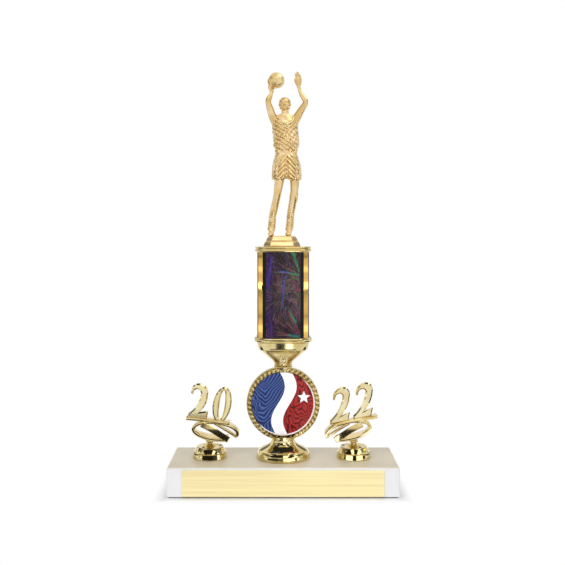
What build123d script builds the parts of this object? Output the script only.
from build123d import *
import os
from math import atan2, cos, degrees, hypot, pi, sin

# A single-column sports trophy. A stone block carries a ring riser with a printed disc, a
# trimmed column between a cup and a cap, a player figure on top, and a year trim on each
# side. Millimetres. +Z is up, the front faces -Y, and the origin is the middle of the
# felt's underside, which is what the trophy stands on.

os.makedirs("parts", exist_ok=True)

# ---- Driving dimensions ----------------------------------------------------------

felt_thickness = 1.0
felt_inset = 1.5

base_length = 177.8
base_depth = 63.5
base_height = 22.2
base_bevel = 0.9
base_top = felt_thickness + base_height
base_front = -base_depth / 2

plate_length = 154.0
plate_height = 20.2
plate_thickness = 0.5
plate_corner = 0.8
plate_middle = felt_thickness + 0.3 + plate_height / 2
tape_thickness = 0.25
tape_margin = 2.5

# Where the base is drilled for the two year trims.
left_trim_x = -58.4
right_trim_x = 56.2

# A quarter-inch screw holds the riser, and number-ten thread does the rest.
riser_screw_radius = 3.1
small_screw_radius = 2.3
shank_clearance = 0.3
thread_clearance = 0.05
insert_wall = 1.7
counterbore_depth = 8.0
riser_counterbore_radius = 9.5
trim_counterbore_radius = 7.5
washer_thickness = 1.2
screw_length = 24.0

riser_foot_radius = 21.2
riser_neck_radius = 9.3
riser_wall = 1.8
ring_radius = 29.2
ring_depth = 9.0
ring_centre = 66.5
ring_top = ring_centre + ring_radius + 0.3
disc_radius = 25.3
disc_thickness = 0.5
disc_recess = 1.6
spigot_radius = 5.6
spigot_height = 4.0

column_half_x = 20.5
column_half_y = 15.5
column_wall = 1.6
column_top = 187.0
column_corner = 9.5
seat_clearance = 0.15

cup_neck_radius = 7.4
cup_rim_top = 120.0
cup_rim_height = 3.8
cup_rim_growth = 2.3
cup_pocket_depth = 2.6
column_bottom = cup_rim_top - cup_pocket_depth

strip_inner_x = 16.1
strip_outer_x = 19.5
strip_thickness = 0.35

cap_thickness = 4.5
cap_growth = 1.6
cap_top = column_top + cap_thickness
cap_spigot_depth = 6.0
nut_recess_radius = 6.2
nut_recess_depth = 5.0
nut_across_flats = 9.5
nut_height = 3.2
cap_washer_thickness = 0.9

plinth_height = 8.4
sole = cap_top + plinth_height

trim_foot_radius = 13.6
trim_foot_rim = 4.7
trim_seat = 36.2
trim_spigot_radius = 1.3
trim_spigot_depth = 3.0
ribbon_depth = 10.0
ribbon_thickness = 1.8
bar_start = 16.0
bar_end = 18.8
loop_half_width = 18.9
loop_half_height = 8.1
loop_shift = 4.6
digit_depth = 4.0


# ---- Shared helpers --------------------------------------------------------------


def write(piece, label):
    """Names a finished piece and writes it to its own STEP file."""
    piece.part.label = label
    export_step(piece.part, f"parts/{label}.step")


def column_plan(growth, mode=Mode.ADD):
    """Adds the column's plan shape, grown or shrunk all round, to the sketch that is open."""
    RectangleRounded(
        2 * (column_half_x + growth),
        2 * (column_half_y + growth),
        column_corner + growth,
        mode=mode,
    )


def facets(half_x, half_y, sides, power=2.0):
    """Adds a many-sided oval. power 2 makes it an ellipse, and more makes it squarer."""
    outline = []
    for side in range(sides):
        angle = 2 * pi * (side + 0.5) / sides
        shrink = (abs(cos(angle)) / half_x) ** power + (abs(sin(angle)) / half_y) ** power
        reach = shrink ** (-1 / power)
        outline.append((reach * cos(angle), reach * sin(angle)))
    Polygon(*outline, align=None)


def four_arc_oval(centre, half_x, half_y, end_radius, turn, mode=Mode.ADD):
    """Adds an oval of four arcs that run into each other, turned by an angle in degrees."""
    side_radius = (half_x**2 + half_y**2 - 2 * half_x * end_radius) / (2 * (half_y - end_radius))
    share = side_radius / (side_radius - end_radius)
    meet_x = share * (half_x - end_radius)
    meet_y = half_y - side_radius + share * (side_radius - half_y)
    with BuildLine() as edge:
        ThreePointArc((meet_x, -meet_y), (half_x, 0), (meet_x, meet_y))
        ThreePointArc((meet_x, meet_y), (0, half_y), (-meet_x, meet_y))
        ThreePointArc((-meet_x, meet_y), (-half_x, 0), (-meet_x, -meet_y))
        ThreePointArc((-meet_x, -meet_y), (0, -half_y), (meet_x, -meet_y))
    placed = edge.line.moved(Location((centre[0], centre[1], 0), (0, 0, turn)))
    make_face(placed.edges(), mode=mode)


def pin(x, bottom, height, radius, mode=Mode.ADD):
    """Adds, or bores, an upright round pin in the part that is open."""
    with BuildSketch(Plane.XY.offset(bottom)) as section:
        with Locations((x, 0)):
            Circle(radius)
    extrude(section.sketch, amount=height, mode=mode)


def collar(x, bottom, height, radius, bore):
    """Adds an upright ring, such as a washer."""
    with BuildSketch(Plane.XY.offset(bottom)) as section:
        with Locations((x, 0)):
            Circle(radius)
            Circle(bore, mode=Mode.SUBTRACT)
    extrude(section.sketch, amount=height)


# ---- Stone base, felt and engraving plate ----------------------------------------

with BuildPart() as marble_base:
    with BuildSketch(Plane.XY.offset(felt_thickness)):
        Rectangle(base_length, base_depth)
    extrude(amount=base_height)
    chamfer(marble_base.edges().filter_by(Axis.Z), base_bevel)
    chamfer(marble_base.edges().group_by(Axis.Z)[-1], base_bevel)
    with Locations(Location((0, 0, felt_thickness), (180, 0, 0))):
        CounterBoreHole(
            riser_screw_radius + shank_clearance, riser_counterbore_radius, counterbore_depth
        )
    with Locations(
        Location((left_trim_x, 0, felt_thickness), (180, 0, 0)),
        Location((right_trim_x, 0, felt_thickness), (180, 0, 0)),
    ):
        CounterBoreHole(
            small_screw_radius + shank_clearance, trim_counterbore_radius, counterbore_depth
        )
write(marble_base, "marble_base")

with BuildPart() as felt_pad:
    with BuildSketch():
        Rectangle(base_length - 2 * felt_inset, base_depth - 2 * felt_inset)
    extrude(amount=felt_thickness)
write(felt_pad, "felt_pad")

with BuildPart() as plate_tape:
    with BuildSketch(Plane.XZ.offset(-base_front)):
        with Locations((0, plate_middle)):
            Rectangle(plate_length - 2 * tape_margin, plate_height - 2 * tape_margin)
    extrude(amount=tape_thickness)
write(plate_tape, "plate_tape")

with BuildPart() as engraving_plate:
    with BuildSketch(Plane.XZ.offset(-base_front + tape_thickness)):
        with Locations((0, plate_middle)):
            RectangleRounded(plate_length, plate_height, plate_corner)
    extrude(amount=plate_thickness)
write(engraving_plate, "engraving_plate")


# ---- Screws and washers under the base -------------------------------------------

counterbore_roof = felt_thickness + counterbore_depth
head_seat = counterbore_roof - washer_thickness


def hex_screw(x, radius):
    """Adds a hex-head screw that points up, its head against the washer."""
    head_height = 1.3 * radius
    with BuildSketch(Plane.XY.offset(head_seat - head_height)) as head:
        with Locations((x, 0)):
            RegularPolygon(1.7 * radius, 6, major_radius=False)
    extrude(head.sketch, amount=head_height)
    pin(x, head_seat, screw_length, radius)


with BuildPart() as riser_screw:
    hex_screw(0, riser_screw_radius)
write(riser_screw, "riser_screw")

with BuildPart() as riser_washer:
    collar(0, head_seat, washer_thickness, 8.5, riser_screw_radius + shank_clearance)
write(riser_washer, "riser_washer")

with BuildPart() as trim_screws:
    for x in (left_trim_x, right_trim_x):
        hex_screw(x, small_screw_radius)
write(trim_screws, "trim_screws")

with BuildPart() as trim_washers:
    for x in (left_trim_x, right_trim_x):
        collar(x, head_seat, washer_thickness, 6.5, small_screw_radius + shank_clearance)
write(trim_washers, "trim_washers")


# ---- Threaded inserts, moulded into the plastic pieces ---------------------------

insert_lift = 0.5  # the plastic below an insert
riser_bore = riser_screw_radius + thread_clearance
small_bore = small_screw_radius + thread_clearance
riser_insert_height = 7.0
small_insert_height = 6.0
screw_reach = head_seat + screw_length + 0.4

neck_insert_bottom = ring_top + spigot_height - small_insert_height

inserts = {
    "riser_insert": (0, base_top + insert_lift, riser_insert_height, riser_bore),
    "neck_insert": (0, neck_insert_bottom, small_insert_height, small_bore),
    "left_trim_insert": (left_trim_x, base_top + insert_lift, small_insert_height, small_bore),
    "right_trim_insert": (right_trim_x, base_top + insert_lift, small_insert_height, small_bore),
    "figure_insert": (0, cap_top + insert_lift, small_insert_height, small_bore),
}



def hex_body(name, mode=Mode.ADD):
    """Adds the six-sided body of an insert, or clears its place from the plastic."""
    x, bottom, height, bore = inserts[name]
    with BuildSketch(Plane.XY.offset(bottom)) as body:
        with Locations((x, 0)):
            RegularPolygon(bore + insert_wall, 6, major_radius=False)
    extrude(body.sketch, amount=height, mode=mode)


for insert_name, (x, bottom, height, bore) in inserts.items():
    with BuildPart() as insert:
        hex_body(insert_name)
        pin(x, bottom, height, bore, mode=Mode.SUBTRACT)
    write(insert, insert_name)


# ---- Ring riser and its disc -----------------------------------------------------


def riser_foot():
    """Adds the turned foot: a rim, a sloping shoulder and a flare up into the neck."""
    neck_top = base_top + 15.6
    with BuildSketch(Plane.XZ) as profile:
        Polygon(
            (0, base_top),
            (riser_foot_radius, base_top),
            (riser_foot_radius, base_top + 3.6),
            (19.9, base_top + 6.0),
            (17.2, base_top + 8.0),
            (12.6, base_top + 9.2),
            (riser_neck_radius, base_top + 12.0),
            (riser_neck_radius, neck_top),
            (0, neck_top),
            align=None,
        )
    revolve(profile.sketch, axis=Axis.Z)


def riser_cavity():
    """Hollows the foot from beneath, round the boss that holds the insert."""
    with BuildSketch(Plane.XY.offset(base_top)) as cavity:
        Circle(riser_foot_radius - 3 * riser_wall)
        Circle(riser_bore + insert_wall + riser_wall, mode=Mode.SUBTRACT)
    extrude(cavity.sketch, amount=6.2, mode=Mode.SUBTRACT)


def riser_ring():
    """Adds the ring and its closed web, turned about the disc's own axis."""
    front = -ring_depth / 2
    web = front + disc_recess
    lip = ring_centre + disc_radius
    rim = ring_centre + ring_radius
    with BuildSketch(Plane.YZ) as profile:
        Polygon(
            (web, ring_centre),
            (web, lip),
            (front, lip),
            (front, rim - 1.4),
            (front + 1.4, rim),
            (-front - 1.4, rim),
            (-front, rim - 1.4),
            (-front, lip),
            (-web, lip),
            (-web, ring_centre),
            align=None,
        )
    revolve(profile.sketch, axis=Axis((0, 0, ring_centre), (0, 1, 0)))


def cup_seat():
    """Adds the platform that the cup stands on, and the spigot that centres it."""
    pin(0, ring_top - 2.2, 2.2, cup_neck_radius)
    pin(0, ring_top, spigot_height, spigot_radius)


with BuildPart() as ring_riser:
    riser_foot()
    riser_cavity()
    riser_ring()
    cup_seat()
    hex_body("riser_insert", Mode.SUBTRACT)
    hex_body("neck_insert", Mode.SUBTRACT)
    pin(0, base_top, screw_reach - base_top, riser_bore, mode=Mode.SUBTRACT)
    pin(0, neck_insert_bottom, small_insert_height, small_bore, mode=Mode.SUBTRACT)
write(ring_riser, "ring_riser")

with BuildPart() as insert_disc:
    with BuildSketch(Plane.XZ.offset(ring_depth / 2 - disc_recess)):
        with Locations((0, ring_centre)):
            Circle(disc_radius - 0.1)
    extrude(amount=disc_thickness)
write(insert_disc, "insert_disc")


# ---- Column: cup, tube, edge strips, cap and tie rod -----------------------------

# Height, half width, half depth and squareness of the bowl at each station of its loft.
bowl_stations = [
    (ring_top, cup_neck_radius, cup_neck_radius, 2.0),
    (ring_top + 5.2, 8.6, 8.3, 2.0),
    (ring_top + 8.8, 11.2, 9.9, 2.1),
    (ring_top + 12.2, 16.4, 12.9, 2.4),
    (ring_top + 15.2, 19.6, 14.9, 2.8),
    (cup_rim_top - cup_rim_height, 20.9, 15.9, 3.4),
]

with BuildPart() as column_cup:
    for height, half_x, half_y, power in bowl_stations:
        with BuildSketch(Plane.XY.offset(height)):
            facets(half_x, half_y, 14, power)
    loft(ruled=True)
    with BuildSketch(Plane.XY.offset(cup_rim_top - cup_rim_height)):
        column_plan(cup_rim_growth)
    extrude(amount=cup_rim_height)
    # The rim is a bead, so its outer edges are eased above and below.
    bead = column_cup.edges().filter_by_position(Axis.Z, cup_rim_top, cup_rim_top)
    chamfer(bead, 1.2)
    with BuildSketch(Plane.XY.offset(column_bottom)):
        column_plan(seat_clearance)
    extrude(amount=cup_pocket_depth, mode=Mode.SUBTRACT)
    # The bowl is hollow above a solid neck.
    with BuildSketch(Plane.XY.offset(column_bottom)):
        RectangleRounded(31.0, 21.0, 7.0)
    extrude(amount=-6.0, mode=Mode.SUBTRACT)
    pin(0, ring_top, spigot_height + 0.3, spigot_radius + seat_clearance, mode=Mode.SUBTRACT)
    pin(0, ring_top, 20.0, small_screw_radius + shank_clearance, mode=Mode.SUBTRACT)
write(column_cup, "column_cup")

with BuildPart() as column_tube:
    with BuildSketch(Plane.XY.offset(column_bottom)):
        column_plan(0)
        column_plan(-column_wall, mode=Mode.SUBTRACT)
    extrude(amount=column_top - column_bottom)
write(column_tube, "column_tube")

corners = {
    "edge_strip_front_left": (-1, -1),
    "edge_strip_front_right": (1, -1),
    "edge_strip_rear_left": (-1, 1),
    "edge_strip_rear_right": (1, 1),
}

for strip_name, (x_side, y_side) in corners.items():
    with BuildPart() as edge_strip:
        with BuildSketch(Plane.XY.offset(cup_rim_top)):
            column_plan(strip_thickness)
            column_plan(0, mode=Mode.SUBTRACT)
            with Locations((x_side * (strip_inner_x + strip_outer_x) / 2, y_side * 10)):
                Rectangle(strip_outer_x - strip_inner_x, 20, mode=Mode.INTERSECT)
        extrude(amount=column_top - cup_rim_top)
    write(edge_strip, strip_name)

with BuildPart() as column_cap:
    with BuildSketch(Plane.XY.offset(column_top)):
        column_plan(cap_growth)
    extrude(amount=cap_thickness)
    chamfer(column_cap.edges().group_by(Axis.Z)[-1], 0.8)
    with BuildSketch(Plane.XY.offset(column_top)):
        column_plan(-column_wall - seat_clearance)
    extrude(amount=-cap_spigot_depth)
    with BuildSketch(Plane.XY.offset(column_top - cap_spigot_depth)):
        column_plan(-2 * column_wall - seat_clearance)
    extrude(amount=cap_spigot_depth - 1.5, mode=Mode.SUBTRACT)
    with Locations((0, 0, cap_top)):
        CounterBoreHole(
            small_screw_radius + shank_clearance, nut_recess_radius, nut_recess_depth
        )
write(column_cap, "column_cap")

nut_floor = cap_top - nut_recess_depth
rod_bottom = neck_insert_bottom + 0.2
rod_top = cap_top + insert_lift + small_insert_height - 0.3

with BuildPart() as tie_rod:
    pin(0, rod_bottom, rod_top - rod_bottom, small_screw_radius)
    chamfer(tie_rod.edges().filter_by(GeomType.CIRCLE), 0.4)
write(tie_rod, "tie_rod")

with BuildPart() as cap_washer:
    collar(0, nut_floor, cap_washer_thickness, 5.6, small_screw_radius + shank_clearance)
write(cap_washer, "cap_washer")

with BuildPart() as cap_nut:
    with BuildSketch(Plane.XY.offset(nut_floor + cap_washer_thickness)):
        RegularPolygon(nut_across_flats / 2, 6, major_radius=False)
        Circle(small_bore, mode=Mode.SUBTRACT)
    extrude(amount=nut_height)
write(cap_nut, "cap_nut")


# ---- Year trims ------------------------------------------------------------------


def trim_foot(x):
    """Adds a turned foot: a rim, a sloped dome and a waisted neck that the trim stands on."""
    rim_top = base_top + trim_foot_rim
    with BuildSketch(Plane.XZ) as profile:
        Polygon(
            (x, base_top),
            (x + trim_foot_radius, base_top),
            (x + trim_foot_radius, rim_top),
            (x + 12.8, rim_top + 0.4),
            (x + 10.4, rim_top + 3.7),
            (x + 4.6, rim_top + 3.7),
            (x + 2.8, rim_top + 6.0),
            (x + 3.9, trim_seat),
            (x, trim_seat),
            align=None,
        )
    revolve(profile.sketch, axis=Axis((x, 0, 0), (0, 0, 1)))
    boss_radius = small_bore + insert_wall + 1.8
    with BuildSketch(Plane.XY.offset(base_top)) as cavity:
        with Locations((x, 0)):
            Circle(11.2)
            Circle(boss_radius, mode=Mode.SUBTRACT)
    extrude(cavity.sketch, amount=5.6, mode=Mode.SUBTRACT)


for side, x in (("left", left_trim_x), ("right", right_trim_x)):
    with BuildPart() as foot:
        trim_foot(x)
        hex_body(f"{side}_trim_insert", Mode.SUBTRACT)
        pin(x, base_top, screw_reach - base_top, small_bore, mode=Mode.SUBTRACT)
        pin(
            x, trim_seat - trim_spigot_depth, trim_spigot_depth,
            trim_spigot_radius + thread_clearance, mode=Mode.SUBTRACT,
        )
    write(foot, f"{side}_trim_foot")


def ribbon(x, side, bar_low, bar_high):
    """Adds the ribbon: a bar, an oval loop under it and two tails. side mirrors it."""
    slope = atan2(bar_high - bar_low, bar_end + bar_start)
    loop_reach = hypot(loop_half_width * sin(slope), loop_half_height * cos(slope))

    def run(start, end):
        across, up = end[0] - start[0], end[1] - start[1]
        middle = (x + side * (start[0] + end[0]) / 2, trim_seat + (start[1] + end[1]) / 2)
        with Locations(Location(middle, side * degrees(atan2(up, across)))):
            Rectangle(hypot(across, up), ribbon_thickness)

    with BuildSketch(Plane.XZ.offset(-ribbon_depth / 2)) as edge:
        loop = (x - side * loop_shift, trim_seat + loop_reach)
        turn = side * degrees(slope)
        four_arc_oval(loop, loop_half_width, loop_half_height, 5.0, turn)
        four_arc_oval(
            loop,
            loop_half_width - ribbon_thickness,
            loop_half_height - ribbon_thickness,
            5.0 - ribbon_thickness,
            turn,
            mode=Mode.SUBTRACT,
        )
        run((-bar_start, bar_low), (bar_end, bar_high))
        run((4.4, 15.2), (-15.9, 0.8))
        run((-5.0, 14.0), (-21.7, 2.6))
    extrude(edge.sketch, amount=ribbon_depth)


def digit_two(x, low, lean):
    """Draws a 2 whose lower left corner is at (x, low) and whose foot slopes by lean."""

    def at(across, up):
        return (x + across, low + up + lean * across)

    with BuildLine() as outline:
        Polyline(at(2.4, 19.9), at(3.1, 18.5), at(4.3, 20.0))
        ThreePointArc(at(4.3, 20.0), at(7.3, 22.8), at(10.0, 19.2))
        ThreePointArc(at(10.0, 19.2), at(6.6, 9.8), at(0.2, 3.0))
        Polyline(at(0.2, 3.0), at(0.2, -0.4), at(14.3, -0.4), at(16.1, 6.2), at(8.9, 4.9))
        ThreePointArc(at(8.9, 4.9), at(13.7, 11.4), at(15.7, 19.0))
        ThreePointArc(at(15.7, 19.0), at(8.8, 27.6), at(2.4, 19.9))
    make_face(outline.edges())


def digit_nought(x, middle):
    """Draws a 0 as an upright oval that leans a little, with a narrow oval hole."""
    four_arc_oval((x, middle), 14.0, 7.4, 4.6, 82)
    four_arc_oval((x, middle), 11.4, 2.2, 0.9, 82, mode=Mode.SUBTRACT)


left_bar = (14.6, 18.8)  # the bar's low and high end, above the seat
right_bar = (13.0, 20.1)

digit_back = Plane.XZ.offset(-digit_depth / 2)


def trim_seat_pad(x):
    """Adds the pad and the spigot by which a trim sits in its foot."""
    pin(x, trim_seat, 1.2, 3.4)
    pin(x, trim_seat - trim_spigot_depth, trim_spigot_depth, trim_spigot_radius)


with BuildPart() as trim_20:
    ribbon(left_trim_x, -1, *left_bar)
    with BuildSketch(digit_back):
        digit_two(left_trim_x - 17.2, trim_seat + 19.4, -0.115)
        digit_nought(left_trim_x + 9.7, trim_seat + 29.1)
    extrude(amount=digit_depth)
    trim_seat_pad(left_trim_x)
write(trim_20, "trim_20")

with BuildPart() as trim_22:
    ribbon(right_trim_x, 1, *right_bar)
    with BuildSketch(digit_back):
        for across in (-18.9, -0.6):
            digit_two(right_trim_x + across, trim_seat + 17.3 + 0.204 * across, 0.204)
    extrude(amount=digit_depth)
    trim_seat_pad(right_trim_x)
write(trim_22, "trim_22")


# ---- Player figure ---------------------------------------------------------------


def limb(*stations):
    """Lofts a limb through its stations: a centre, a half width and a half depth each."""
    centres = [Vector(*centre) for centre, _, _ in stations]
    last = len(centres) - 1
    sections = []
    for index, (_, half_width, half_depth) in enumerate(stations):
        along = centres[min(index + 1, last)] - centres[max(index - 1, 0)]
        across = Vector(1, 0, 0) - along * (along.X / along.dot(along))
        with BuildSketch(Plane(centres[index], x_dir=across, z_dir=along)) as section:
            facets(half_width, half_depth, 10)
        sections.append(section.sketch)
    loft(sections, ruled=True)


def plinth_step(bottom, top, low_size, high_size):
    """Adds one tapering step of the plinth, by the length and depth at its two ends."""
    levels = []
    for height, (length, depth) in ((bottom, low_size), (top, high_size)):
        with BuildSketch(Plane.XY.offset(height)) as level:
            with Locations((plinth_x, 0)):
                Rectangle(length, depth)
            chamfer(level.vertices(), 0.2 * length)
        levels.append(level.sketch)
    loft(levels)


def ball(centre, radius):
    """Adds a ball of flat panels, in rings between its two poles."""
    x, y, z = centre
    rings = []
    for step in range(7):
        tilt = pi * (step - 3) / 6.6
        rings.append(((x, y, z + radius * sin(tilt)), radius * cos(tilt), radius * cos(tilt)))
    limb(*rings)


plinth_x = -1.0
plinth_groove = cap_top + 4.0

with BuildPart() as player_figure:
    plinth_step(cap_top, plinth_groove, (29.2, 22.0), (26.0, 19.0))
    plinth_step(plinth_groove, sole, (24.8, 18.2), (21.6, 15.8))
    # Shoes, then legs up into the shorts.
    limb(
        ((-9.9, -6.4, sole + 0.9), 1.6, 1.2),
        ((-9.3, -3.4, sole + 1.9), 2.4, 1.9),
        ((-8.6, 1.6, sole + 2.2), 2.1, 2.2),
    )
    limb(
        ((3.6, -5.0, sole + 0.9), 1.6, 1.2),
        ((4.2, -2.0, sole + 1.9), 2.5, 1.9),
        ((4.9, 2.8, sole + 2.2), 2.1, 2.2),
    )
    limb(
        ((-8.8, 0.4, sole + 2.6), 2.4, 2.4),
        ((-9.0, 0.4, 210.0), 3.0, 3.0),
        ((-7.0, -0.3, 221.0), 2.7, 3.3),
        ((-4.7, -1.6, 232.0), 3.0, 3.3),
        ((-3.2, -1.2, 246.0), 3.7, 4.2),
    )
    limb(
        ((4.8, 1.6, sole + 2.6), 2.4, 2.4),
        ((5.1, 1.6, 210.0), 3.0, 3.0),
        ((6.4, 1.2, 222.0), 2.7, 3.4),
        ((8.6, 0.2, 234.0), 3.1, 3.4),
        ((9.0, 0.4, 246.0), 3.7, 4.2),
    )
    # Shorts: a leg each, then the seat that joins them.
    limb(
        ((-3.0, -1.0, 244.4), 6.0, 6.2),
        ((-2.4, -0.2, 256.0), 6.2, 6.4),
        ((-1.0, 0.4, 265.0), 5.2, 5.8),
    )
    limb(
        ((8.8, 0.2, 244.4), 6.2, 6.2),
        ((7.8, 0.2, 256.0), 6.4, 6.4),
        ((6.0, 0.4, 265.0), 5.2, 5.8),
    )
    limb(((2.6, 0.2, 252.0), 11.0, 6.4), ((2.5, 0.4, 268.0), 8.6, 5.8))
    # Jersey: waist, chest and the sloping shoulders.
    limb(
        ((2.5, 0.4, 267.0), 8.6, 5.8),
        ((2.5, 0.2, 274.0), 10.3, 6.2),
        ((1.6, 0.2, 287.0), 11.0, 6.6),
        ((1.3, 0.6, 294.0), 10.8, 5.4),
        ((1.4, 0.8, 298.4), 4.4, 3.6),
    )
    # Neck and head.
    limb(((1.6, 0.6, 295.0), 3.4, 3.2), ((1.3, -0.2, 301.0), 3.0, 3.2))
    limb(
        ((1.2, -0.9, 298.6), 2.0, 2.4),
        ((1.2, -0.8, 300.8), 3.8, 4.4),
        ((1.2, -0.4, 305.0), 4.9, 5.8),
        ((1.2, -0.2, 308.8), 3.9, 4.8),
        ((1.2, -0.1, 310.5), 1.6, 2.0),
    )
    # Arms: shoulder to elbow, elbow to wrist, then the hand.
    limb(
        ((-7.2, 0.6, 292.6), 3.6, 3.6),
        ((-10.2, -0.8, 299.0), 3.2, 3.2),
        ((-12.4, -2.4, 307.2), 2.3, 2.4),
    )
    limb(((-12.4, -2.4, 304.8), 2.3, 2.3), ((-8.8, -1.8, 314.6), 1.7, 1.7))
    limb(
        ((-9.2, -1.8, 312.8), 1.8, 1.6),
        ((-9.9, -0.6, 317.6), 2.3, 1.2),
        ((-9.4, 0.0, 323.0), 1.0, 0.8),
    )
    limb(
        ((10.2, 0.6, 292.6), 3.6, 3.6),
        ((13.8, -0.8, 298.6), 3.2, 3.2),
        ((18.0, -2.4, 306.6), 2.3, 2.4),
    )
    limb(((18.0, -2.4, 304.4), 2.3, 2.3), ((12.4, -3.6, 317.6), 1.7, 1.7))
    limb(
        ((12.8, -3.6, 316.6), 1.8, 1.5),
        ((12.2, -3.8, 323.2), 2.6, 1.1),
        ((11.0, -4.0, 330.5), 1.0, 0.7),
    )
    ball((-5.35, -2.4, 323.5), 6.4)
    hex_body("figure_insert", Mode.SUBTRACT)
    pin(0, cap_top, insert_lift + small_insert_height, small_bore, mode=Mode.SUBTRACT)
write(player_figure, "player_figure")
